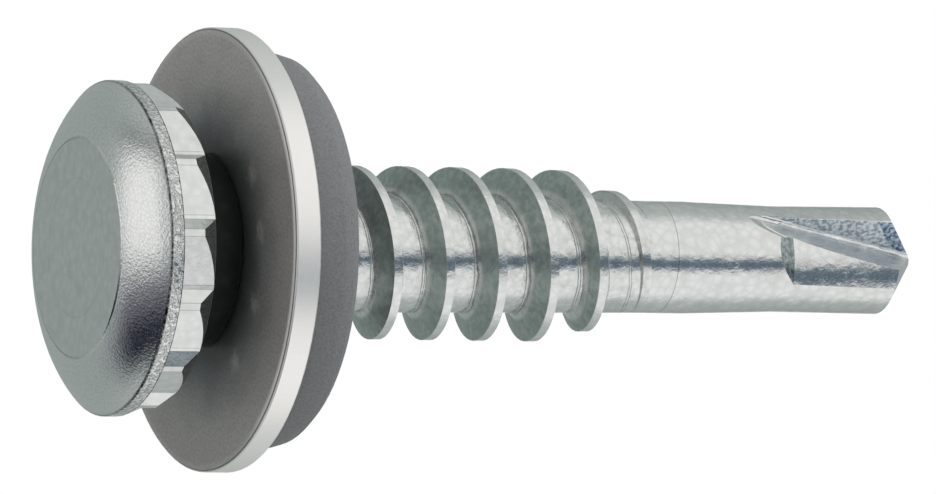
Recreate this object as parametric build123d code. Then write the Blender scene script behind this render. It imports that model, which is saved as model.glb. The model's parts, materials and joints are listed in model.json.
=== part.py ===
from build123d import *
import os
from math import atan2, cos, degrees, radians, sin, tan

# Self drilling screw with a bonded sealing washer, standing on the flat of its head with the tip up.
# All sizes are in millimetres and degrees.
#
# The screw's axis is +Z and runs from the head to the tip. "Place" means a height along that axis, counted
# from the metal washer's face on the head's side. Angles about the axis are counted from +X towards +Y.

# ---- metal washer and sealing ring ----
washer_diameter = 16.0
washer_thickness = 1.0
washer_edge_break = 0.08
washer_play = 0.12             # radial play of the metal disc round the shank
seal_diameter = 14.25
seal_thickness = 2.1
seal_lip = 0.75                # how far the eased outer edge on the roof side reaches in and back
seal_lip_flats = 3             # narrow flats that ease it
seal_draw_in = 0.08            # how much narrower the ring is beside the metal disc
seal_play = 0.05               # the ring grips the shank closely and still turns
head_play = 0.08               # axial gap between the head's bearing face and the washer

# ---- head ----
head_diameter = 12.06
flat_diameter = 7.88
flat_step = 0.05               # the flat stands this much proud of the dome
head_height = 4.94             # from the bearing face to the flat
cap_height = 1.58              # from the flat to the underside of the cap
rim_height = 0.48              # band round the edge of the cap
rim_edge_break = 0.05
dome_rise = 0.16               # how far the dome's arc stands out from its own chord
neck_diameter = 7.0

# ---- drive collar: ratchet-shaped teeth under the cap ----
collar_diameter = 11.9
collar_height = 1.4
tooth_count = 14
tooth_depth = 0.35
crest_share = 0.10             # share of a tooth's pitch taken by its outer land
valley_share = 0.06            # share taken by the small land at the foot of the riser
riser_share = 0.16             # share taken by the riser
collar_cone_angle = 31.0       # slope of the cone that trims the teeth's lower corners
first_tooth_angle = -8.7

# ---- shank and thread ----
shank_diameter = 5.1           # plain stretch that runs through the washer
root_diameter = 4.4
thread_diameter = 6.3
thread_pitch = 2.08
crest_width = 0.33
flank_angle = 21.8             # each flank, from the plane square to the axis
thread_gap = 0.2               # clear of the sealing ring before the thread begins
thread_start_angle = -44.6
lead_in_turns = 0.5
full_turns = 4.25
run_out_turns = 1.76
thread_sink = 0.3              # how deep the thread's foot is rooted in the shank
root_taper_length = 0.7        # from the plain shank down to the thread's root

# ---- drill point ----
blank_diameter = 4.1           # plain stretch between the thread and the flutes
waist_diameter = 3.88
drill_diameter = 3.94
screw_length = 28.3            # washer's top face to the tip
point_half_angle = 53.0
chisel_diameter = 0.6
drill_length = 9.2             # tip back to where the blank starts to narrow
waist_length = 3.6             # from there to the narrowest section

flute_count = 2
flute_length = 7.35
flute_web = 0.2                # distance of the flute's root from the axis at the tip
flute_root_radius = 0.16
flute_start_angle = -80.3      # direction of the cutting wall where it leaves the surface
flute_tip_angle = -72.3        # and at the tip
flute_start_opening = 93.0     # angle between the flute's two walls
flute_tip_opening = 68.0
flute_overrun = 0.6            # the flute's shape goes on this far past both its ends

relief_radius = 3.0            # flatter curve that backs off the land behind the flute
relief_depth = 0.2             # below the drill's round, midway along the relief
relief_edge_angle = 4.2        # where the relief runs out into the land
relief_span = 75.0             # from there back into the flute
relief_length = 5.45           # tip back to the full depth
relief_ramp_length = 0.9

seam_angle = 60.0              # where the turned shank closes on itself, clear of flutes and reliefs

# ---- worked out from the sizes above ----
washer_radius = washer_diameter / 2
shank_radius = shank_diameter / 2
seal_end = washer_thickness + seal_thickness
bearing_place = -head_play
flat_place = bearing_place - head_height
rim_end = flat_place + cap_height
collar_end = rim_end + collar_height
collar_radius = collar_diameter / 2
valley_radius = collar_radius - tooth_depth
root_radius = root_diameter / 2
thread_radius = thread_diameter / 2
blank_radius = blank_diameter / 2
foot_radius = blank_radius - thread_sink
waist_radius = waist_diameter / 2
drill_radius = drill_diameter / 2
point_height = (drill_radius - chisel_diameter / 2) / tan(radians(point_half_angle))
drill_corner = screw_length - point_height
waist_start = screw_length - drill_length
waist_place = waist_start + waist_length
flute_ends = (screw_length - flute_length - flute_overrun, screw_length + flute_overrun)
relief_middle_angle = relief_edge_angle - relief_span / 2


def polar(radius, angle, place=0.0):
    """The point at a radius and an angle about the screw's axis."""
    return (radius * cos(radians(angle)), radius * sin(radians(angle)), place)


def section(radius, place):
    """A point of a turned outline, in the half-plane through +X."""
    return (radius, 0, place)


def turned(edges):
    """A turned solid from the closed outline that these edges make."""
    return revolve(make_face(edges), Axis.Z)


def turned_polygon(*points):
    """A turned solid with a straight-sided outline, given by its (radius, place) corners."""
    corners = [section(radius, place) for radius, place in points]
    return revolve(make_face(Polyline(*corners, close=True)), Axis.Z)


def metal_washer():
    """A flat stamped disc with its outer edges broken."""
    middle = Pos(0, 0, washer_thickness / 2)
    disc = middle * Cylinder(washer_radius, washer_thickness)
    disc = chamfer(disc.edges().filter_by(GeomType.CIRCLE), washer_edge_break)
    return disc - middle * Cylinder(shank_radius + washer_play, 2 * washer_thickness)


def rubber_seal():
    """The moulded ring on the roof side: a little narrower beside the metal, eased at its lip."""
    bore = shank_radius + seal_play
    outer = seal_diameter / 2
    lip = []
    for step in range(seal_lip_flats + 1):
        turn = radians(90 / seal_lip_flats * step)
        lip.append((outer - seal_lip * (1 - cos(turn)), seal_end - seal_lip * (1 - sin(turn))))
    return turned_polygon(
        (bore, washer_thickness), (outer - seal_draw_in, washer_thickness), *lip, (bore, seal_end)
    )


def cap():
    """The flat-topped mushroom cap with its raised flat, dome and edge band."""
    flat_radius = flat_diameter / 2
    rim_radius = head_diameter / 2
    dome_start = (flat_radius + flat_step, flat_place + flat_step)
    dome_end = (rim_radius - rim_edge_break, rim_end - rim_height)
    chord_angle = atan2(dome_end[1] - dome_start[1], dome_end[0] - dome_start[0])
    dome_middle = (
        (dome_start[0] + dome_end[0]) / 2 + dome_rise * sin(chord_angle),
        (dome_start[1] + dome_end[1]) / 2 - dome_rise * cos(chord_angle),
    )
    return turned([
        Polyline(
            section(*dome_end), section(rim_radius, rim_end - rim_height + rim_edge_break),
            section(rim_radius, rim_end), section(0, rim_end), section(0, flat_place),
            section(flat_radius, flat_place), section(*dome_start),
        ),
        ThreePointArc(section(*dome_start), section(*dome_middle), section(*dome_end)),
    ])


def collar_outline():
    """One turn of ratchet teeth: an outer land, a long flat, a small inner land and a riser."""
    pitch = 360 / tooth_count
    corners = []
    for tooth in range(tooth_count):
        start = first_tooth_angle + tooth * pitch
        corners += [
            polar(collar_radius, start),
            polar(collar_radius, start + crest_share * pitch),
            polar(valley_radius, start + (1 - riser_share - valley_share) * pitch),
            polar(valley_radius, start + (1 - riser_share) * pitch),
        ]
    return make_face(Polyline(*corners, close=True))


def drive_collar():
    """The toothed collar, with its lower corners trimmed by a cone, and the neck under it."""
    teeth = Pos(0, 0, rim_end) * extrude(collar_outline(), collar_height, dir=(0, 0, 1))
    cone_top = collar_end - (collar_radius - valley_radius) / tan(radians(collar_cone_angle))
    envelope = turned_polygon(
        (0, rim_end), (collar_radius, rim_end), (collar_radius, cone_top),
        (valley_radius, collar_end), (0, collar_end),
    )
    return teeth & envelope


def neck():
    """The hub between the collar and the washer."""
    radius = neck_diameter / 2
    return turned_polygon((0, collar_end), (radius, collar_end), (radius, bearing_place), (0, bearing_place))


def shank():
    """The round core, from inside the head to the blunt chisel end of the point."""
    thread_start = seal_end + thread_gap
    run_out_end = thread_places()[-1]
    return Rot(0, 0, seam_angle) * turned_polygon(
        (0, collar_end), (shank_radius, collar_end), (shank_radius, thread_start),
        (root_radius, thread_start + root_taper_length), (blank_radius, run_out_end),
        (blank_radius, waist_start), (waist_radius, waist_place),
        (drill_radius, drill_corner), (chisel_diameter / 2, screw_length), (0, screw_length),
    )


def thread_places():
    """Places of the thread's middle line where it starts, is full, begins to run out and ends."""
    turns = (lead_in_turns, full_turns, run_out_turns)
    places = [seal_end + thread_gap + foot_half_width(thread_radius)]
    for stretch in turns:
        places.append(places[-1] + stretch * thread_pitch)
    return places


def foot_half_width(crest_radius):
    """Half the thread's width at its foot, where its crest is at this radius."""
    return crest_width / 2 + (crest_radius - foot_radius) * tan(radians(flank_angle))


def helix_edge(start, end, start_angle, turns):
    """The helical edge between two (radius, place) points, cylindrical or conical."""
    height = end[1] - start[1]
    cone = degrees(atan2(end[0] - start[0], height))
    pitch = height / (turns * cos(radians(cone)))
    curve = Edge.make_helix(pitch, height, start[0], center=(0, 0, start[1]), angle=cone)
    return curve.edge().rotate(Axis.Z, start_angle)


def thread_section(place, crest_radius):
    """The thread's four corners at one place, as (radius, place) points."""
    half = foot_half_width(crest_radius)
    return [
        (foot_radius, place - half), (crest_radius, place - crest_width / 2),
        (crest_radius, place + crest_width / 2), (foot_radius, place + half),
    ]


def section_face(corners, angle):
    """The flat end of the thread at an angle about the axis."""
    points = [polar(radius, angle, place) for radius, place in corners]
    return Face(Wire.make_polygon(points, close=True))


def thread():
    """One right-hand start: it rises out of the shank, runs at full height and sinks back in."""
    crests = (shank_radius - thread_sink, thread_radius, thread_radius, blank_radius - thread_sink / 2)
    sections = [thread_section(place, crest) for place, crest in zip(thread_places(), crests)]
    faces = [section_face(sections[0], thread_start_angle)]
    angle = thread_start_angle
    for first, last, turns in zip(sections, sections[1:], (lead_in_turns, full_turns, run_out_turns)):
        edges = [helix_edge(start, end, angle, turns) for start, end in zip(first, last)]
        for edge, neighbour in zip(edges, edges[1:] + edges[:1]):
            faces.append(Face.make_surface_from_curves(edge, neighbour))
        angle += 360 * turns
    faces.append(section_face(sections[-1], angle))
    return Solid(Shell(faces))


def flute_corners(place):
    """The flute's root at one place, and a far point on its cutting wall and on its heel wall."""
    share = (place - (screw_length - flute_length)) / flute_length
    root_depth = blank_radius + (flute_web - blank_radius) * share
    cutting_angle = flute_start_angle + (flute_tip_angle - flute_start_angle) * share
    opening = flute_start_opening + (flute_tip_opening - flute_start_opening) * share
    root = Vector(*polar(root_depth, cutting_angle, place))
    return [
        root,
        root + Vector(*polar(blank_diameter, cutting_angle)),
        root + Vector(*polar(blank_diameter, cutting_angle + opening)),
    ]


def flute_section(corners):
    """The flute's V through its three corners, with a rounded root."""
    wedge = make_face(Polyline(*corners, close=True))
    root = wedge.vertices().sort_by_distance(corners[0])[0]
    return fillet(root, flute_root_radius)


def flute():
    """The space of one flute, which deepens from the surface to the web at the tip."""
    return loft([flute_section(flute_corners(place)) for place in flute_ends], ruled=True)


def relief_centre():
    """Where the relief's flatter curve has its centre: the curve starts on the drill's round."""
    edge = Vector(*polar(drill_radius, relief_edge_angle))
    inner = Vector(*polar(drill_radius - relief_depth, relief_middle_angle))
    chord = inner - edge
    rise = (relief_radius ** 2 - (chord.length / 2) ** 2) ** 0.5
    return (edge + inner) * 0.5 + Vector(chord.Y, -chord.X, 0).normalized() * rise


def relief():
    """The space behind one flute: the land is backed off to a flatter curve, with a ramp at its start."""
    ramp_end = screw_length - relief_length
    ramp_start = ramp_end - relief_ramp_length
    end = screw_length + flute_overrun
    kept = turned_polygon(
        (0, ramp_start), (relief_radius + drill_diameter - waist_diameter + relief_depth, ramp_start),
        (relief_radius, ramp_end), (relief_radius, end), (0, end),
    )
    reach = blank_diameter
    pie = make_face(Polyline(
        (0, 0), polar(reach, relief_edge_angle), polar(reach, relief_middle_angle),
        polar(reach, relief_edge_angle - relief_span), close=True,
    ))
    sector = Pos(0, 0, ramp_start) * extrude(pie, end - ramp_start, dir=(0, 0, 1))
    centre = relief_centre()
    return sector - Pos(centre.X, centre.Y, 0) * Rot(0, 0, relief_middle_angle + 180) * kept


def screw():
    """The one-piece screw: cap, collar, neck, shank and thread, with the drill point cut into it."""
    solid = cap() + drive_collar() + neck() + shank() + thread()
    for index in range(flute_count):
        turn = Rot(0, 0, 360 / flute_count * index)
        solid -= turn * flute()
        solid -= turn * relief()
    return solid


def standing(piece):
    """The piece where it is once the screw stands on the flat of its head, with the origin under it."""
    return Pos(0, 0, -flat_place) * piece


pieces = {
    "screw": screw(),
    "metal_washer": metal_washer(),
    "rubber_seal": rubber_seal(),
}

os.makedirs("parts", exist_ok=True)
for name, piece in pieces.items():
    export_step(standing(piece), f"parts/{name}.step")
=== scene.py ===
"""Self drilling screw on a pale floor: finishes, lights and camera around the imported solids."""
import json
import math
from collections import namedtuple
from types import SimpleNamespace

import bpy
from mathutils import Matrix, Vector

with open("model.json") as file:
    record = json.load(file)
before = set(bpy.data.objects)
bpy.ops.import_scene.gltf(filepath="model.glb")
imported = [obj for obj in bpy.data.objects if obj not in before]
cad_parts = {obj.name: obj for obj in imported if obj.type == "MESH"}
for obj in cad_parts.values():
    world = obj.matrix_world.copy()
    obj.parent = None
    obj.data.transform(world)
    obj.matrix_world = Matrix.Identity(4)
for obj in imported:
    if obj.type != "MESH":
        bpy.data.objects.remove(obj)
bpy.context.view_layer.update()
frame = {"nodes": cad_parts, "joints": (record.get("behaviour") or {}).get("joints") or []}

MM = 0.001
UP = Vector((0, 0, 1))

Panel = namedtuple("Panel", "azimuth elevation half_wide half_high soft colour")
Noise = namedtuple("Noise", "scale detail roughness")    # the scale is per mm
Stroke = namedtuple("Stroke", "half soft")    # a thin line's half width and its soft side


def grey(value, warm=0.0, green=0.0):
    """A grey of this value, a little warmer or greener."""
    return (value * (1 + warm), value * (1 + green), value * (1 - warm), 1.0)


# ---------------------------------------------------------------- the camera and the studio

# The camera, given by how it sees the screw's axis.
CAMERA_SIDE_ANGLE = -27.3          # the angle round the axis that is nearest the camera
AXIS_TILT = math.radians(25.24)    # the tip leans away from the camera
AXIS_SLOPE = math.radians(0.94)    # and a little down across the picture
PICTURE_WIDTH = 936
FOCAL_PIXELS = 12000.0
PIXELS_PER_MM = 27.83              # at the washer's head-side face
WASHER_PIXEL = (-263.3, 2.81)      # that face's middle, right of and below the picture's middle
SENSOR_WIDTH = 36.0
CLIP_DISTANCES = (0.01, 10.0)

FLOOR_HALF = 1.5
FLOOR_GAP = 0.02 * MM              # keeps the floor just clear of the head's flat
FLOOR_GREY = grey(0.86)
FLOOR_GLOW = 0.6                   # share of the floor's white that shadows don't darken
BACKGROUND_WHITE = grey(1.0)
WORLD_LIGHT = 0.75                 # the world's light on matt surfaces
KEY_AZIMUTH = -70
KEY_ELEVATION = 45
KEY_DISTANCE = 0.5
KEY_SIZE = 0.4
KEY_WATTS = 2.0

# The tent's panels have their angles and softness in degrees.
# Azimuth 0 is the camera's side, and +90 the picture's lower side.
TENT_RADIUS = 0.15
TENT_CLOTH = (0.36, 0.40, 0.39, 1)
UPPER_PANELS = (
    Panel(0, 30, 130, 48, 22, (0.58, 0.62, 0.61, 1)),       # front half, a little brighter
    Panel(-42, 32, 36, 34, 13, (1.0, 1.0, 0.99, 1)),        # upper white panel
    Panel(58, 32, 31, 34, 11, (1.0, 1.0, 1.0, 1)),          # lower white panel
    Panel(14, 32, 9, 34, 6, (0.09, 0.14, 0.19, 1)),         # narrow dark gap between the two
    Panel(180, 27, 12, 9, 3, (1.0, 1.0, 1.0, 1)),           # the white background behind the screw
)
LOWER_PANELS = (
    Panel(-25, -60, 26, 10, 8, (0.34, 0.37, 0.37, 1)),      # grey cloth in front of the white card
    Panel(95, -68, 38, 12, 5, (0.17, 0.17, 0.20, 1)),       # dark cloth under the lower side
    Panel(97, -56, 27, 11, 7, (0.006, 0.008, 0.022, 1)),    # black card above that
    Panel(-110, -50, 20, 2.5, 4, (0.02, 0.035, 0.045, 1)),  # dark seam above the white card
)

# A white card lies under the screw. Each of its edges is a step over one part of a direction.
CARD_WHITE = (1.0, 1.0, 0.99, 1)
CARD_TOP = (-0.80, -0.86)
CARD_LEAN = 0.1                    # the card's plane leans this much towards the camera's side
CARD_SIDE = (-0.13, -0.05)
CARD_FRONT = (0.34, 0.20)

# ---------------------------------------------------------------- where the marks lie on the screw

# Places are in mm along the axis, from the washer's face on the head's side. Radii are in mm from the
# axis, and angles in degrees round it from +X. Two limits of a step read: none at the first, all at the
# second.
WASHER_HALF = 0.5 * MM             # the joint sits in the middle of the metal washer
PAINTED_LIGHT_SIDE_ANGLE = -27.3          # the side that the photograph shows: painted highlights and painted shade differ on it

CAP_LIMITS = (-3.39, -3.44)
RIM_PLACES = (-3.92, -3.44)        # the cap's rim, with a line of painted shade along both its edges
RIM_SOFT = 0.02
RIM_STROKE = Stroke(0.03, 0.02)
FLAT_LIMITS = (3.98, 3.92)
FLAT_RING = 3.95                   # the ring round the flat on the cap, with painted shade on the side away from the painted light;
FLAT_RING_STROKE = Stroke(0.035, 0.04)
PAINTED_HIGHLIGHT_RING = 4.0                   # on the painted-light side a painted highlight ring lies just outside it
PAINTED_HIGHLIGHT_STROKE = Stroke(0.02, 0.04)
MARK_RING = 2.5                    # a fainter ring inside both
MARK_RING_STROKE = Stroke(0.02, 0.05)
PAINTED_LIGHT_SIDE_LIMITS = (0.5, 3.0)    # how far from the axis towards the painted-light side, on the cap
# the flat ring's painted shade lies towards the opposite side, over these limits
PAINTED_SHADE_SIDE_LIMITS = (1.5, -2.0)

COLLAR_PLACES = (-3.40, -2.08)
COLLAR_SOFT = 0.01
TOOTH_PITCH = 360 / 14             # degrees between the collar's teeth
TOOTH_START = -8.7
TOOTH_EDGES = (0.0, 2.57, 20.06, 21.6)   # a tooth's edges, in degrees from its start
TOOTH_STROKE = Stroke(0.12, 0.16)
CONE_FACING = (0.40, 0.62)         # how far the cone that trims the teeth faces the tip
CONE_SOFT = 0.02
GAP_PLACES = (-2.06, -0.02)        # the gap between the collar and the washer, darkened with painted shade
GAP_SOFT = 0.01
# inside these radii the neck is darkened further with painted shade
NECK_LIMITS = (3.65, 3.55)

SHANK_LIMITS = (-0.02, 0.08)
HAIRLINE_PLACE = 18.0              # a rolling mark round the shank
HAIRLINE_STROKE = Stroke(0.012, 0.012)
THREAD_START = 4.025               # the first turn's middle, at the angle below
THREAD_START_ANGLE = -44.6
THREAD_PITCH = 2.08
THREAD_PLACES = (3.2, 16.95)
THREAD_SOFT = 0.05
ROOT_LIMITS = (2.3, 2.25)
OFF_ROOT_LIMITS = (2.25, 2.45)
HEAD_FLANK_LIMITS = (-0.155, -0.185)     # distances from the crest's middle
FOLD_LINES = (-0.57, -0.67, 0.60)        # distances of the fold lines from the crest's middle
FOLD_STROKE = Stroke(0.012, 0.02)
FOLD_WANDER = Noise(1.1, 2.0, 0.5)
FOLD_WANDER_RANGE = 0.12

FLUTE_PLACE_LIMITS = (21.0, 21.6)
FLUTE_LIMITS = (1.9, 1.86)         # the flutes' walls lie inside this radius,
DEEP_FLUTE_LIMITS = (1.70, 1.66)   # and inside this one where the surface faces as the reliefs do
FLUTE_FALL = 0.245                 # how fast a flute's root nears the axis towards the tip
RELIEF_ANGLE = -33.3               # the way one relief faces; the other faces the opposite way
OFF_RELIEF_LIMITS = (0.85, 0.75)
CUTTING_WALL_ANGLE = 14.1          # the way one cutting wall faces; the other faces the opposite way
CUTTING_WALL_LIMITS = (0.93, 0.97)
LIP_LIMITS = (27.90, 28.00)        # the ground strip along the lips: its edge on the axis,
LIP_SLOPE = 0.754                  # and how fast it falls back with the radius
RAMP_PLACES = (22.15, 22.88)       # the ramp at the start of each relief,
RAMP_PLACE_SOFT = 0.02
RAMP_FACING = (0.245, 0.31)        # and how far it faces the tip
RAMP_FACING_SOFT = 0.01

# ---------------------------------------------------------------- the finishes

PEEL = Noise(2.2, 3.0, 0.5)
GRAIN = Noise(10.0, 2.5, 0.6)
CRUMBS = Noise(6.5, 2.0, 0.5)
CRUMB_LIMITS = (0.36, 0.64)
SCALE_MARKS = Noise(3.6, 4.0, 0.6)
STREAKS = Noise(1.0, 3.0, 0.5)
STREAK_SCALE = 7.0                 # how much finer the streaks are across a flute than along it
CELL_SCALE = 2.8
CELL_SMOOTHNESS = 0.6
CELL_WANDER = Noise(1.5, 2.0, 0.5)
CELL_WANDER_RANGE = 0.4
CRACK_WIDTH = 0.18
FINE_CRACK_SCALE = 7.0
FINE_CRACK_WIDTH = 0.16
CRACK_CORE = 0.3                   # share of a crack's width that is at full depth

RELIEF = {                         # heights in mm
    "peel": 0.006,
    "grain": 0.0022,
    "more grain on the dome": 0.0105,
    "more grain on the cone": 0.012,
    "more grain on the shank": 0.0050,
    "cells": -0.011,
    "crumbs on the cutting walls": 0.010,
    "streaks in the flutes": 0.05,
    "flat ring": -0.005,
    "mark ring": -0.006,
    "crumbs on the rim": 0.026,
    "folds": -0.010,
}
SHADE = {                          # how much of the colour each mark takes away
    "rim": 0.34,
    # the fold lines are grooves, darkened partly as a painted dark reflection of the thread's turns
    "folds": 0.45,
    "tooth lines": 0.4,
    "hairline": 0.6,
    # painted shade in the gap under the collar, and deeper on the neck
    "gap": 0.2,
    "neck": 0.70,
    "cracks": 0.035,
    "fine cracks": 0.12,
    # painted dark reflection of the thread's turns, in patches in the root
    "root": 0.13,
    # painted shade along the flat ring, on the side away from the painted light
    "flat ring": 0.75,
    "mark ring": 0.14,
}
RIM_LINE_SHADES = (0.25, 0.8)      # the rim lines' painted shade, away from the painted-light side and on it
RIM_LINE_PATCHES = (0.4, 1.2)
PAINTED_ROOT_REFLECTION_LIMITS = (0.45, 0.70)

CELL_COLOURS = (grey(0.76, green=0.012), grey(0.62, green=0.017))
DOME_GREY = grey(0.79, green=0.01)
SPECK_GREY = grey(0.50, warm=-0.02)
SPECK_LIMITS = (0.66, 0.76)
# painted shade: the thread's head-side flanks are darker and greener, with a mottle
FLANK_SHADE_COLOURS = ((0.37, 0.43, 0.41, 1), (0.50, 0.56, 0.54, 1))
FLANK_MOTTLE_LIMITS = (0.35, 0.65)
FLUTE_COLOURS = (grey(0.62, green=0.02), grey(1.0, green=0.01))
WALL_COLOURS = ((0.30, 0.36, 0.42, 1), (0.72, 0.78, 0.83, 1))
LIP_COLOURS = ((0.09, 0.13, 0.20, 1), (0.42, 0.52, 0.64, 1))
RAMP_COLOURS = ((0.21, 0.24, 0.25, 1), (0.38, 0.42, 0.42, 1))
# painted shade: the cone under the collar's teeth, facing the washer, is coloured dark
PAINTED_CONE_SHADE_COLOURS = (grey(0.10, warm=-0.03), grey(0.55, warm=-0.03))
# the painted highlight ring round the cap's flat
PAINTED_HIGHLIGHT_GREY = grey(0.98)
PAINTED_HIGHLIGHT_SHARE = 0.7
ZINC_ROUGHNESS = (0.13, 0.23)
FLANK_ROUGHNESS = 0.22             # added on the thread's head-side flanks
FLUTE_ROUGHNESS = 0.14             # added in the flutes

WASHER_GRAIN = Noise(9.0, 4.0, 0.65)
WASHER_GRAIN_LIMITS = (0.3, 0.7)
WASHER_GRAIN_HEIGHT = 0.0035
WASHER_CLOUD = Noise(0.8, 3.0, 0.5)
CLOUD_SHARE = 0.7
CLOUD_OFFSET = -0.35
INNER_FACE_COLOURS = (grey(0.29, warm=-0.05, green=0.02), grey(0.43, warm=-0.05, green=0.02))
OUTER_FACE_COLOURS = (grey(0.27, warm=0.04), grey(0.41, warm=0.04))
SHADE_RADII = (3.4, 6.9)           # painted shade deepens the face between these, towards the neck
SHADE_SHARES = (0.40, 1.0)
BLACK_RADII = (3.3, 5.2)           # and the painted shade is blackest here
BLACK_SHARES = (0.45, 1.0)
# painted reflections of the collar's teeth in the washer's face
TOOTH_REFLECTION_RADIUS = 4.9
TOOTH_REFLECTION_ANGLES = (-61.3, -35.3, -4.3, 27.7)
TOOTH_REFLECTION_LIMITS = (1.0, 0.5)
TOOTH_REFLECTION_OUTLINE = Noise(2.5, 2.0, 0.5)
TOOTH_REFLECTION_RAGGEDNESS = 0.9
TOOTH_REFLECTION_BREAKUP = Noise(7.0, 3.0, 0.65)
TOOTH_REFLECTION_BREAKUP_LIMITS = (0.25, 0.60)
TOOTH_REFLECTION_GREY = grey(0.46, warm=0.07)
TOOTH_REFLECTION_SHARE = 0.75
EDGE_HIGHLIGHT_RADII = (7.62, 7.86)        # a painted highlight lightens the face near its edge,
EDGE_HIGHLIGHT_SHARES = (0.12, 0.9)        # most on the painted-light side
EDGE_HIGHLIGHT_SIDE_LIMITS = (3.0, 7.5)    # how far from the axis towards the painted-light side, on the washer
EDGE_HIGHLIGHT_GREY = grey(0.95, warm=0.02)
EDGE_LINE_RADIUS = 7.93
EDGE_LINE_STROKE = Stroke(0.02, 0.015)
EDGE_LINE_GREY = grey(0.12)
SHEARED_RADII = (7.955, 7.975)
SHEARED_COLOURS = (grey(0.84, warm=0.025), grey(0.92, warm=0.025))
WASHER_METALLIC = (0.5, 1.0)       # on the face, and on the sheared edge
WASHER_ROUGHNESS = (0.36, 0.46)

RUBBER_GRAIN = Noise(13.0, 4.0, 0.7)
RUBBER_GRAIN_LIMITS = (0.25, 0.75)
RUBBER_GRAIN_HEIGHT = 0.005
RUBBER_COLOURS = (grey(0.11, warm=-0.03, green=0.01), grey(0.19, warm=-0.03, green=0.01))
RUBBER_ROUGHNESS = (0.6, 0.75)
RUBBER_EDGE_RADIUS = 0.3 * MM      # how round the rubber's edges look in their shading
RUBBER_EDGE_SAMPLES = 8


# ---------------------------------------------------------------- places and directions

def washer_face(joints):
    """The point on the screw's axis in the plane of the washer's head-side face."""
    spin = next(joint for joint in joints if joint["name"] == "washer_spin")
    return Vector(spin["pos_m"]) - UP * WASHER_HALF


def around(angle):
    """The level direction at an angle round the screw's axis, counted from +X."""
    return Vector((math.cos(math.radians(angle)), math.sin(math.radians(angle)), 0))


def toward(azimuth, elevation):
    """A direction seen from the screw: azimuth 0 is the camera's side, +90 the picture's lower side."""
    level = around(CAMERA_SIDE_ANGLE + azimuth)
    return level * math.cos(math.radians(elevation)) + UP * math.sin(math.radians(elevation))


# ---------------------------------------------------------------- shader helpers

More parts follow.
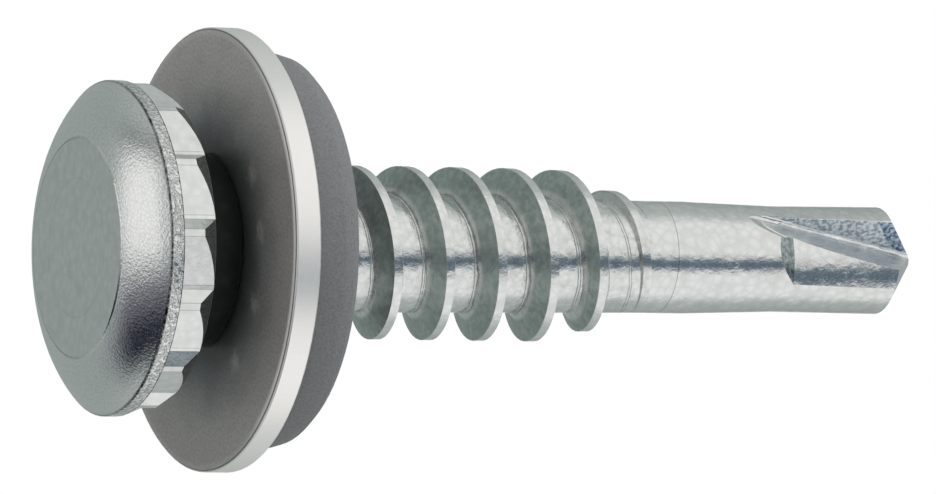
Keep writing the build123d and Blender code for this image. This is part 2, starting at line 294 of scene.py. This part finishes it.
class Shader:
    """Short calls that fill one node tree, which is emptied first."""

    def __init__(self, tree):
        tree.nodes.clear()
        self.tree = tree

    def node(self, kind, inputs=(), **settings):
        made = self.tree.nodes.new(kind)
        for name, value in settings.items():
            setattr(made, name, value)
        for name, value in dict(inputs).items():
            self.put(made.inputs[name], value)
        return made

    def put(self, socket, value):
        if isinstance(value, bpy.types.NodeSocket):
            self.tree.links.new(value, socket)
        elif value is not None:
            socket.default_value = value

    def end(self, surface, kind="ShaderNodeOutputMaterial"):
        """Ends the tree in this surface."""
        self.node(kind, {"Surface": surface.outputs[0]})

    def math(self, operation, first, second=None, third=None, clamp=False):
        made = self.node("ShaderNodeMath", operation=operation, use_clamp=clamp)
        for index, value in enumerate((first, second, third)):
            self.put(made.inputs[index], value)
        return made.outputs[0]

    def times(self, first, *others):
        """The product of several values."""
        for other in others:
            first = self.math("MULTIPLY", first, other)
        return first

    def total(self, first, *others):
        """The sum of several values."""
        for other in others:
            first = self.math("ADD", first, other)
        return first

    def degrees(self, turn):
        return self.times(turn, 180 / math.pi)

    def vector_math(self, operation, first, second=None, third=None):
        made = self.node("ShaderNodeVectorMath", operation=operation)
        for index, value in enumerate((first, second, third)):
            self.put(made.inputs[index], value)
        return made.outputs

    def dot(self, vector, direction):
        return self.vector_math("DOT_PRODUCT", vector, direction)["Value"]

    def combine(self, x, y, z):
        return self.node("ShaderNodeCombineXYZ", {"X": x, "Y": y, "Z": z}).outputs[0]

    def step(self, value, none_at, all_at):
        """0 at the first limit and beyond, 1 at the second, smooth between; either may be the higher."""
        rising = all_at > none_at
        limits = {
            "Value": value,
            "From Min": min(none_at, all_at),
            "From Max": max(none_at, all_at),
            "To Min": 0.0 if rising else 1.0,
            "To Max": 1.0 if rising else 0.0,
        }
        return self.node("ShaderNodeMapRange", limits, interpolation_type="SMOOTHSTEP").outputs["Result"]

    def band(self, value, low, high, soft):
        """1 between low and high, with soft sides."""
        return self.times(
            self.step(value, low - soft, low + soft),
            self.step(value, high + soft, high - soft),
        )

    def line(self, value, middle, stroke):
        """1 on the narrow line where a value passes the middle."""
        return self.band(value, middle - stroke.half, middle + stroke.half, stroke.soft)

    def repeated(self, value, pitch):
        """The value's distance from the nearest whole number of pitches."""
        return self.math("WRAP", value, pitch / 2, -pitch / 2)

    def noise(self, vector, noise, output="Fac"):
        made = self.node("ShaderNodeTexNoise", {"Vector": vector, "Scale": noise.scale})
        self.put(made.inputs["Detail"], noise.detail)
        self.put(made.inputs["Roughness"], noise.roughness)
        return made.outputs[output]

    def warped(self, vector, noise, amount):
        """The vector with a slow wander, so that patterns on it lose their regularity."""
        drift = self.noise(vector, noise, "Color")
        return self.vector_math("MULTIPLY_ADD", drift, (amount, amount, amount), vector)[0]

    def cells(self, vector, scale, smoothness):
        """The distance from the middle of the nearest rounded cell."""
        made = self.node(
            "ShaderNodeTexVoronoi", {"Vector": vector, "Scale": scale}, feature="SMOOTH_F1"
        )
        self.put(made.inputs["Smoothness"], smoothness)
        return made.outputs["Distance"]

    def cracks(self, vector, scale, width):
        """1 on the thin lines between cells."""
        made = self.node(
            "ShaderNodeTexVoronoi", {"Vector": vector, "Scale": scale}, feature="DISTANCE_TO_EDGE"
        )
        return self.step(made.outputs["Distance"], width, width * CRACK_CORE)

    def mix(self, share, first, second, blend="MIX"):
        """A colour between two."""
        made = self.node("ShaderNodeMix", data_type="RGBA", blend_type=blend)
        self.put(made.inputs["Factor"], share)
        self.put(made.inputs[6], first)
        self.put(made.inputs[7], second)
        return made.outputs[2]

    def lerp(self, share, first, second):
        """A number between two."""
        made = self.node("ShaderNodeMix", data_type="FLOAT")
        self.put(made.inputs["Factor"], share)
        self.put(made.inputs[2], first)
        self.put(made.inputs[3], second)
        return made.outputs[0]

    def facing(self):
        """The surface's own direction on the part."""
        return self.node("ShaderNodeTexCoord").outputs["Normal"]

    def bump(self, height, normal=None):
        """The surface's direction with this relief, in mm."""
        made = self.node("ShaderNodeBump", {"Height": height, "Strength": 1.0, "Distance": MM})
        self.put(made.inputs["Normal"], normal)
        return made.outputs["Normal"]

    def places(self, origin):
        """Place along the axis and radius in mm, angle round it in degrees, and a vector in mm."""
        point = self.node("ShaderNodeTexCoord").outputs["Object"]
        moved = self.vector_math("SUBTRACT", point, origin)[0]
        scaled = self.node("ShaderNodeVectorMath", {0: moved, "Scale": 1 / MM}, operation="SCALE")
        vector = scaled.outputs[0]
        x, y, place = self.node("ShaderNodeSeparateXYZ", {"Vector": vector}).outputs
        radius = self.math("SQRT", self.total(self.times(x, x), self.times(y, y)))
        angle = self.degrees(self.math("ARCTAN2", y, x))
        return SimpleNamespace(place=place, radius=radius, angle=angle, vector=vector)


def empty_material(name):
    """A node material with nothing in it, and the shader helper that fills it."""
    material = bpy.data.materials.new(name)
    material.use_nodes = True
    return material, Shader(material.node_tree)


def finish_surface(shader, colour, metallic, roughness, normal):
    """Ends a material in one Principled surface."""
    shader.end(shader.node(
        "ShaderNodeBsdfPrincipled",
        {"Base Color": colour, "Metallic": metallic, "Roughness": roughness, "Normal": normal},
    ))


# ---------------------------------------------------------------- the zinc: masks of its marks

def head_marks(shader, at):
    """Masks of the cap's dome, rim and rings, of the sides with painted highlight and shade, and of the
    painted shade in the gap and on the neck under the collar.
    """
    cap = shader.step(at.place, *CAP_LIMITS)
    flat = shader.times(cap, shader.step(at.radius, *FLAT_LIMITS))
    gap = shader.band(at.place, *GAP_PLACES, GAP_SOFT)
    toward_painted_light = shader.dot(at.vector, around(PAINTED_LIGHT_SIDE_ANGLE))
    marked_side = shader.step(toward_painted_light, *PAINTED_LIGHT_SIDE_LIMITS)
    light_ring = shader.line(at.radius, PAINTED_HIGHLIGHT_RING, PAINTED_HIGHLIGHT_STROKE)
    return {
        "marked_side": marked_side,
        "other_side": shader.step(toward_painted_light, *PAINTED_SHADE_SIDE_LIMITS),
        "dome": shader.math("SUBTRACT", cap, flat, clamp=True),
        "rim": shader.band(at.place, *RIM_PLACES, RIM_SOFT),
        "rim_lines": shader.total(*[shader.line(at.place, place, RIM_STROKE) for place in RIM_PLACES]),
        "flat_ring": shader.times(cap, shader.line(at.radius, FLAT_RING, FLAT_RING_STROKE)),
        "light_ring": shader.times(cap, marked_side, light_ring),
        "mark_ring": shader.times(cap, shader.line(at.radius, MARK_RING, MARK_RING_STROKE)),
        "gap": gap,
        "neck": shader.times(gap, shader.step(at.radius, *NECK_LIMITS)),
    }


def collar_marks(shader, at):
    """Masks of the thin lines along the collar's teeth and of the cone that trims the teeth."""
    collar = shader.band(at.place, *COLLAR_PLACES, COLLAR_SOFT)
    lines = []
    for edge in TOOTH_EDGES:
        from_edge = shader.repeated(shader.math("SUBTRACT", at.angle, TOOTH_START + edge), TOOTH_PITCH)
        lines.append(shader.line(from_edge, 0.0, TOOTH_STROKE))
    trimmed = shader.band(shader.dot(shader.facing(), UP), *CONE_FACING, CONE_SOFT)
    return {
        "tooth_lines": shader.times(collar, shader.total(*lines)),
        "cone": shader.times(collar, trimmed),
    }


def crest_distance(shader, at):
    """The distance along the axis from the nearest crest's middle, negative on the head's side."""
    turned = shader.times(shader.math("SUBTRACT", at.angle, THREAD_START_ANGLE), THREAD_PITCH / 360)
    from_start = shader.math("SUBTRACT", shader.math("SUBTRACT", at.place, THREAD_START), turned)
    return shader.repeated(from_start, THREAD_PITCH)


def shank_marks(shader, at):
    """Masks of the shank and its hairline, and of the thread's root, fold lines and head-side flanks."""
    from_crest = crest_distance(shader, at)
    threaded = shader.band(at.place, *THREAD_PLACES, THREAD_SOFT)
    root = shader.times(threaded, shader.step(at.radius, *ROOT_LIMITS))
    wander = shader.noise(at.vector, FOLD_WANDER)
    shift = shader.math("MULTIPLY_ADD", wander, FOLD_WANDER_RANGE, -FOLD_WANDER_RANGE / 2)
    bent = shader.total(from_crest, shift)
    folds = shader.total(*[shader.line(bent, distance, FOLD_STROKE) for distance in FOLD_LINES])
    off_root = shader.step(at.radius, *OFF_ROOT_LIMITS)
    head_side = shader.step(from_crest, *HEAD_FLANK_LIMITS)
    return {
        "shank": shader.step(at.place, *SHANK_LIMITS),
        "hairline": shader.line(at.place, HAIRLINE_PLACE, HAIRLINE_STROKE),
        "root": root,
        "folds": shader.times(root, folds),
        "flank": shader.times(threaded, off_root, head_side),
    }


def drill_marks(shader, at):
    """Masks of the flutes, their cutting walls, the strip along their lips, and the reliefs' ramps."""
    facing = shader.facing()
    toward_relief = shader.math("ABSOLUTE", shader.dot(facing, around(RELIEF_ANGLE)))
    toward_wall = shader.math("ABSOLUTE", shader.dot(facing, around(CUTTING_WALL_ANGLE)))
    deep = shader.step(at.radius, *DEEP_FLUTE_LIMITS)
    off_relief = shader.step(toward_relief, *OFF_RELIEF_LIMITS)
    flute = shader.times(
        shader.step(at.place, *FLUTE_PLACE_LIMITS),
        shader.step(at.radius, *FLUTE_LIMITS),
        shader.math("MAXIMUM", deep, off_relief),
    )
    wall = shader.times(flute, shader.step(toward_wall, *CUTTING_WALL_LIMITS))
    from_lip = shader.total(at.place, shader.times(at.radius, LIP_SLOPE))
    on_ramp = shader.band(at.place, *RAMP_PLACES, RAMP_PLACE_SOFT)
    ramp_facing = shader.band(shader.dot(facing, UP), *RAMP_FACING, RAMP_FACING_SOFT)
    return {
        "flute": flute,
        "wall": wall,
        "lip": shader.times(wall, shader.step(from_lip, *LIP_LIMITS)),
        "ramp": shader.times(on_ramp, ramp_facing),
    }


# ---------------------------------------------------------------- the zinc: its finish

def zinc_textures(shader, at, on):
    """The plating's patterns."""
    wandering = shader.warped(at.vector, CELL_WANDER, CELL_WANDER_RANGE)
    along_flute = shader.math("MULTIPLY_ADD", at.place, FLUTE_FALL, at.radius)
    flute_vector = shader.combine(shader.times(along_flute, STREAK_SCALE), at.place, 0.0)
    fine_cracks = shader.cracks(at.vector, FINE_CRACK_SCALE, FINE_CRACK_WIDTH)
    return SimpleNamespace(
        peel=shader.noise(at.vector, PEEL),
        grain=shader.noise(at.vector, GRAIN),
        crumbs=shader.step(shader.noise(at.vector, CRUMBS), *CRUMB_LIMITS),
        scale_marks=shader.noise(wandering, SCALE_MARKS),
        streaks=shader.noise(flute_vector, STREAKS),
        cells=shader.cells(wandering, CELL_SCALE, CELL_SMOOTHNESS),
        cracks=shader.times(shader.cracks(wandering, CELL_SCALE, CRACK_WIDTH), on.shank),
        fine_cracks=shader.times(fine_cracks, on.dome),
    )


def zinc_relief(shader, on, texture):
    """The height of the plating, in mm."""
    grain_height = shader.total(
        shader.times(on.dome, RELIEF["more grain on the dome"]),
        shader.times(on.cone, RELIEF["more grain on the cone"]),
        shader.times(on.shank, RELIEF["more grain on the shank"]),
        RELIEF["grain"],
    )
    return shader.total(
        shader.times(texture.peel, RELIEF["peel"]),
        shader.times(texture.grain, grain_height),
        shader.times(texture.cells, RELIEF["cells"], on.shank),
        shader.times(on.wall, texture.crumbs, RELIEF["crumbs on the cutting walls"]),
        shader.times(on.flute, texture.streaks, RELIEF["streaks in the flutes"]),
        shader.times(on.flat_ring, RELIEF["flat ring"]),
        shader.times(on.mark_ring, RELIEF["mark ring"]),
        shader.times(on.rim, texture.crumbs, RELIEF["crumbs on the rim"]),
        shader.times(on.folds, RELIEF["folds"]),
    )


def zinc_colour(shader, on, texture):
    """The plating's colour before its shading, with painted shade on the head-side flanks and the cone
    and a painted highlight ring on the cap.
    """
    flank_mottle = shader.step(texture.scale_marks, *FLANK_MOTTLE_LIMITS)
    colour = shader.mix(texture.cells, *CELL_COLOURS)
    colour = shader.mix(on.dome, colour, DOME_GREY)
    colour = shader.mix(shader.step(texture.grain, *SPECK_LIMITS), colour, SPECK_GREY)
    for mask, pattern, colours in (
        (on.flank, flank_mottle, FLANK_SHADE_COLOURS),
        (on.flute, texture.streaks, FLUTE_COLOURS),
        (on.wall, texture.crumbs, WALL_COLOURS),
        (on.lip, texture.crumbs, LIP_COLOURS),
        (on.ramp, texture.crumbs, RAMP_COLOURS),
        (on.cone, texture.grain, PAINTED_CONE_SHADE_COLOURS),
    ):
        colour = shader.mix(mask, colour, shader.mix(pattern, *colours))
    return shader.mix(shader.times(on.light_ring, PAINTED_HIGHLIGHT_SHARE), colour, PAINTED_HIGHLIGHT_GREY)


def zinc_shade(shader, on, texture):
    """How much of the colour the dark lines, the painted shade and the painted dark reflections take
    away.
    """
    # the rim lines are painted shade, deeper on the painted-light side
    rim_line_shade = shader.lerp(on.marked_side, *RIM_LINE_SHADES)
    rim_line_patches = shader.lerp(texture.peel, *RIM_LINE_PATCHES)
    painted_root_reflection = shader.step(texture.scale_marks, *PAINTED_ROOT_REFLECTION_LIMITS)
    return shader.total(
        shader.times(on.rim_lines, rim_line_shade, rim_line_patches),
        shader.times(on.rim, shader.math("SUBTRACT", 1.0, texture.crumbs), SHADE["rim"]),
        shader.times(on.folds, SHADE["folds"]),
        shader.times(on.tooth_lines, SHADE["tooth lines"]),
        shader.times(on.hairline, SHADE["hairline"]),
        shader.times(on.gap, SHADE["gap"]),
        shader.times(on.neck, SHADE["neck"]),
        shader.times(texture.cracks, SHADE["cracks"]),
        shader.times(texture.fine_cracks, SHADE["fine cracks"]),
        shader.times(on.root, painted_root_reflection, SHADE["root"]),
        shader.times(on.flat_ring, on.other_side, SHADE["flat ring"]),
        shader.times(on.mark_ring, SHADE["mark ring"]),
    )


def zinc(origin):
    """Bright zinc plate: crackled mottle, a grainy cap, flanks darkened with painted shade and fold lines
    on the thread.
    """
    material, shader = empty_material("zinc_plate_look")
    at = shader.places(origin)
    on = SimpleNamespace(
        **head_marks(shader, at),
        **collar_marks(shader, at),
        **shank_marks(shader, at),
        **drill_marks(shader, at),
    )
    texture = zinc_textures(shader, at, on)
    left = shader.math("SUBTRACT", 1.0, zinc_shade(shader, on, texture), clamp=True)
    colour = shader.mix(1.0, zinc_colour(shader, on, texture), left, "MULTIPLY")
    roughness = shader.total(
        shader.lerp(texture.grain, *ZINC_ROUGHNESS),
        shader.times(on.flank, FLANK_ROUGHNESS),
        shader.times(on.flute, FLUTE_ROUGHNESS),
    )
    finish_surface(shader, colour, 1.0, roughness, shader.bump(zinc_relief(shader, on, texture)))
    return material


# ---------------------------------------------------------------- the washer and the rubber

def painted_tooth_reflections(shader, vector):
    """Faint light spots under the collar's teeth: painted reflections of the teeth in the washer's face.
    """
    outline = shader.times(shader.noise(vector, TOOTH_REFLECTION_OUTLINE), TOOTH_REFLECTION_RAGGEDNESS)
    spots = []
    for angle in TOOTH_REFLECTION_ANGLES:
        apart = shader.vector_math("DISTANCE", vector, around(angle) * TOOTH_REFLECTION_RADIUS)["Value"]
        spots.append(shader.step(shader.total(apart, outline), *TOOTH_REFLECTION_LIMITS))
    painted_sheen_mask = shader.step(shader.noise(vector, TOOTH_REFLECTION_BREAKUP), *TOOTH_REFLECTION_BREAKUP_LIMITS)
    return shader.times(shader.total(*spots), painted_sheen_mask)


def washer_face_colour(shader, at, grain):
    """The washer's dark face, with painted shade towards the neck, painted reflections of the collar's
    teeth, a painted highlight near its edge, and the line round that.
    """
    outward = shader.step(at.radius, *SHADE_RADII)
    mottle = shader.step(grain, *WASHER_GRAIN_LIMITS)
    face = shader.mix(
        outward,
        shader.mix(mottle, *INNER_FACE_COLOURS),
        shader.mix(mottle, *OUTER_FACE_COLOURS),
    )
    cloud = shader.noise(at.vector, WASHER_CLOUD)
    clouded = shader.math("MULTIPLY_ADD", cloud, CLOUD_SHARE, shader.total(outward, CLOUD_OFFSET))
    painted_face_shade = shader.times(
        shader.lerp(clouded, *SHADE_SHARES),
        shader.lerp(shader.step(at.radius, *BLACK_RADII), *BLACK_SHARES),
    )
    face = shader.mix(1.0, face, painted_face_shade, "MULTIPLY")
    face = shader.mix(shader.times(painted_tooth_reflections(shader, at.vector), TOOTH_REFLECTION_SHARE), face, TOOTH_REFLECTION_GREY)
    # a painted highlight lightens the face near its edge, most on the painted-light side
    marked_side = shader.step(shader.dot(at.vector, around(PAINTED_LIGHT_SIDE_ANGLE)), *EDGE_HIGHLIGHT_SIDE_LIMITS)
    edge_highlight_share = shader.lerp(marked_side, *EDGE_HIGHLIGHT_SHARES)
    painted_sheen_mask = shader.times(shader.step(at.radius, *EDGE_HIGHLIGHT_RADII), edge_highlight_share)
    face = shader.mix(painted_sheen_mask, face, EDGE_HIGHLIGHT_GREY)
    return shader.mix(shader.line(at.radius, EDGE_LINE_RADIUS, EDGE_LINE_STROKE), face, EDGE_LINE_GREY)


def washer_metal(origin):
    """Satin washer: a dark face with painted shade that deepens to the neck, and a bright sheared edge.
    """
    material, shader = empty_material("washer_metal_look")
    at = shader.places(origin)
    grain = shader.noise(at.vector, WASHER_GRAIN)
    sheared = shader.step(at.radius, *SHEARED_RADII)
    face = washer_face_colour(shader, at, grain)
    colour = shader.mix(sheared, face, shader.mix(grain, *SHEARED_COLOURS))
    metallic = shader.lerp(sheared, *WASHER_METALLIC)
    roughness = shader.lerp(grain, *WASHER_ROUGHNESS)
    finish_surface(
        shader, colour, metallic, roughness, shader.bump(shader.times(grain, WASHER_GRAIN_HEIGHT))
    )
    return material


def seal_rubber(origin):
    """Dark grey moulded rubber with a fine grain."""
    material, shader = empty_material("seal_rubber_look")
    grain = shader.noise(shader.places(origin).vector, RUBBER_GRAIN)
    colour = shader.mix(shader.step(grain, *RUBBER_GRAIN_LIMITS), *RUBBER_COLOURS)
    rounded = shader.node(
        "ShaderNodeBevel", {"Radius": RUBBER_EDGE_RADIUS}, samples=RUBBER_EDGE_SAMPLES
    )
    relief = shader.bump(shader.times(grain, RUBBER_GRAIN_HEIGHT), rounded.outputs[0])
    finish_surface(shader, colour, 0.0, shader.lerp(grain, *RUBBER_ROUGHNESS), relief)
    return material


def wear(node, material):
    """Gives a CAD node one material in all its slots."""
    for slot in node.material_slots:
        slot.material = material


# ---------------------------------------------------------------- floor, tent, lights and camera

def stage_mesh(name, vertices, faces, material):
    """A mesh that belongs to the studio and not to the screw."""
    mesh = bpy.data.meshes.new(name)
    mesh.from_pydata(vertices, [], faces)
    mesh.materials.append(material)
    made = bpy.data.objects.new(name, mesh)
    bpy.context.scene.collection.objects.link(made)
    return made


def background_ray(shader):
    """1 for the rays that see the background: the camera's, and those through gloss and glass."""
    path = shader.node("ShaderNodeLightPath")
    seen = shader.math("MAXIMUM", path.outputs["Is Camera Ray"], path.outputs["Is Glossy Ray"])
    return shader.math("MAXIMUM", seen, path.outputs["Is Transmission Ray"])


def blended(shader, share, first, second):
    """A surface between two."""
    return shader.node("ShaderNodeMixShader", {0: share, 1: first.outputs[0], 2: second.outputs[0]})


def pale_floor():
    """A white floor that keeps the screw's soft shadow. From below it is clear, and it isn't mirrored."""
    material, shader = empty_material("floor_white")
    matte = shader.node("ShaderNodeBsdfDiffuse", {"Color": FLOOR_GREY})
    glow = shader.node("ShaderNodeEmission", {"Color": BACKGROUND_WHITE, "Strength": 1.0})
    clear = shader.node("ShaderNodeBsdfTransparent")
    white = blended(shader, shader.times(background_ray(shader), FLOOR_GLOW), matte, glow)
    hidden = shader.math(
        "MAXIMUM",
        shader.node("ShaderNodeNewGeometry").outputs["Backfacing"],
        shader.node("ShaderNodeLightPath").outputs["Is Glossy Ray"],
    )
    shader.end(blended(shader, hidden, white, clear))
    corners = [
        (x * FLOOR_HALF, y * FLOOR_HALF, -FLOOR_GAP)
        for x, y in ((-1, -1), (1, -1), (1, 1), (-1, 1))
    ]
    stage_mesh("floor", corners, [(0, 1, 2, 3)], material)


def panel_share(shader, direction, panel):
    """1 where a soft-edged panel of the light tent lies in this direction, 0 beside it."""
    ahead = shader.dot(direction, toward(panel.azimuth, panel.elevation))
    beside = shader.dot(direction, toward(panel.azimuth + 90, 0))
    above = shader.dot(direction, toward(panel.azimuth, panel.elevation + 90))
    across = shader.math("ARCTAN2", beside, ahead)
    rise = shader.math("ARCSINE", above)
    shares = []
    for turn, half in ((across, panel.half_wide), (rise, panel.half_high)):
        apart = shader.math("ABSOLUTE", shader.degrees(turn))
        shares.append(shader.step(apart, half + panel.soft, half - panel.soft))
    return shader.times(*shares)


def card_share(shader, direction):
    """1 where the white card under the screw lies in this direction, 0 beside it."""
    top = shader.step(shader.dot(direction, UP + around(CAMERA_SIDE_ANGLE) * CARD_LEAN), *CARD_TOP)
    side = shader.step(shader.dot(direction, toward(-90, 0)), *CARD_SIDE)
    front = shader.step(shader.dot(direction, toward(0, 0)), *CARD_FRONT)
    return shader.times(top, side, front)


def hung(shader, direction, colour, panels):
    """The colour in this direction with these panels hung in front of it."""
    for panel in panels:
        colour = shader.mix(panel_share(shader, direction, panel), colour, panel.colour)
    return colour


def ball(radius, centre, rings=24, sides=48):
    """The corners and faces of a round mesh."""
    vertices = [centre + UP * radius, centre - UP * radius]
    for ring in range(1, rings):
        tilt = math.pi * ring / rings
        for side in range(sides):
            level = around(360 * side / sides)
            vertices.append(centre + level * radius * math.sin(tilt) + UP * radius * math.cos(tilt))
    faces = []
    last = 2 + (rings - 2) * sides
    for side in range(sides):
        beside = (side + 1) % sides
        faces.append((0, 2 + side, 2 + beside))
        faces.append((1, last + beside, last + side))
        for start in range(2, last, sides):
            below = start + sides
            faces.append((start + side, below + side, below + beside, start + beside))
    return vertices, faces


def light_tent(centre):
    """A tent round the screw that only gloss sees: white panels on grey-green cloth, with dark gaps."""
    material, shader = empty_material("tent_cloth")
    material.cycles.emission_sampling = "NONE"
    point = shader.node("ShaderNodeNewGeometry").outputs["Position"]
    direction = shader.vector_math("NORMALIZE", shader.vector_math("SUBTRACT", point, centre)[0])[0]
    colour = hung(shader, direction, TENT_CLOTH, UPPER_PANELS)
    colour = shader.mix(card_share(shader, direction), colour, CARD_WHITE)
    colour = hung(shader, direction, colour, LOWER_PANELS)
    shader.end(shader.node("ShaderNodeEmission", {"Color": colour, "Strength": 1.0}))
    tent = stage_mesh("light_tent", *ball(TENT_RADIUS, centre), material)
    tent.visible_camera = False
    tent.visible_diffuse = False
    tent.visible_shadow = False
    tent.visible_transmission = False


def key_light():
    """A square area lamp above the screw; only matt surfaces take its light."""
    direction = toward(KEY_AZIMUTH, KEY_ELEVATION)
    data = bpy.data.lights.new("key_softbox", "AREA")
    data.size = KEY_SIZE
    data.energy = KEY_WATTS
    lamp = bpy.data.objects.new("key_softbox", data)
    lamp.location = direction * KEY_DISTANCE
    lamp.rotation_mode = "QUATERNION"
    lamp.rotation_quaternion = (-direction).to_track_quat("-Z", "Y")
    lamp.visible_camera = False
    lamp.visible_glossy = False
    bpy.context.scene.collection.objects.link(lamp)


def pale_world():
    """A world that looks white and lights matt surfaces evenly and more dimly."""
    world = bpy.data.worlds.new("studio")
    world.use_nodes = True
    shader = Shader(world.node_tree)
    strength = shader.lerp(background_ray(shader), WORLD_LIGHT, 1.0)
    background = shader.node("ShaderNodeBackground", {"Color": BACKGROUND_WHITE, "Strength": strength})
    shader.end(background, "ShaderNodeOutputWorld")
    bpy.context.scene.world = world


def camera(origin):
    """A long lens that sees the screw's axis at its tilt and slope."""
    near = around(CAMERA_SIDE_ANGLE)
    beside = around(CAMERA_SIDE_ANGLE + 90)
    forward = UP * math.sin(AXIS_TILT) - near * math.cos(AXIS_TILT)
    along = UP * math.cos(AXIS_TILT) + near * math.sin(AXIS_TILT)
    right = along * math.cos(AXIS_SLOPE) - beside * math.sin(AXIS_SLOPE)
    down = along * math.sin(AXIS_SLOPE) + beside * math.cos(AXIS_SLOPE)
    data = bpy.data.cameras.new("camera")
    data.sensor_width = SENSOR_WIDTH
    data.lens = SENSOR_WIDTH * FOCAL_PIXELS / PICTURE_WIDTH
    data.clip_start, data.clip_end = CLIP_DISTANCES
    scale = MM / PIXELS_PER_MM
    place = origin - (right * WASHER_PIXEL[0] + down * WASHER_PIXEL[1] + forward * FOCAL_PIXELS) * scale
    made = bpy.data.objects.new("camera", data)
    made.matrix_world = Matrix.Translation(place) @ Matrix((right, -down, -forward)).transposed().to_4x4()
    bpy.context.scene.collection.objects.link(made)
    bpy.context.scene.camera = made


origin = washer_face(frame["joints"])
wear(frame["nodes"]["screw"], zinc(origin))
wear(frame["nodes"]["metal_washer"], washer_metal(origin))
wear(frame["nodes"]["rubber_seal"], seal_rubber(origin))
pale_floor()
pale_world()
key_light()
light_tent(origin)
camera(origin)
bpy.context.scene.view_settings.view_transform = "Standard"
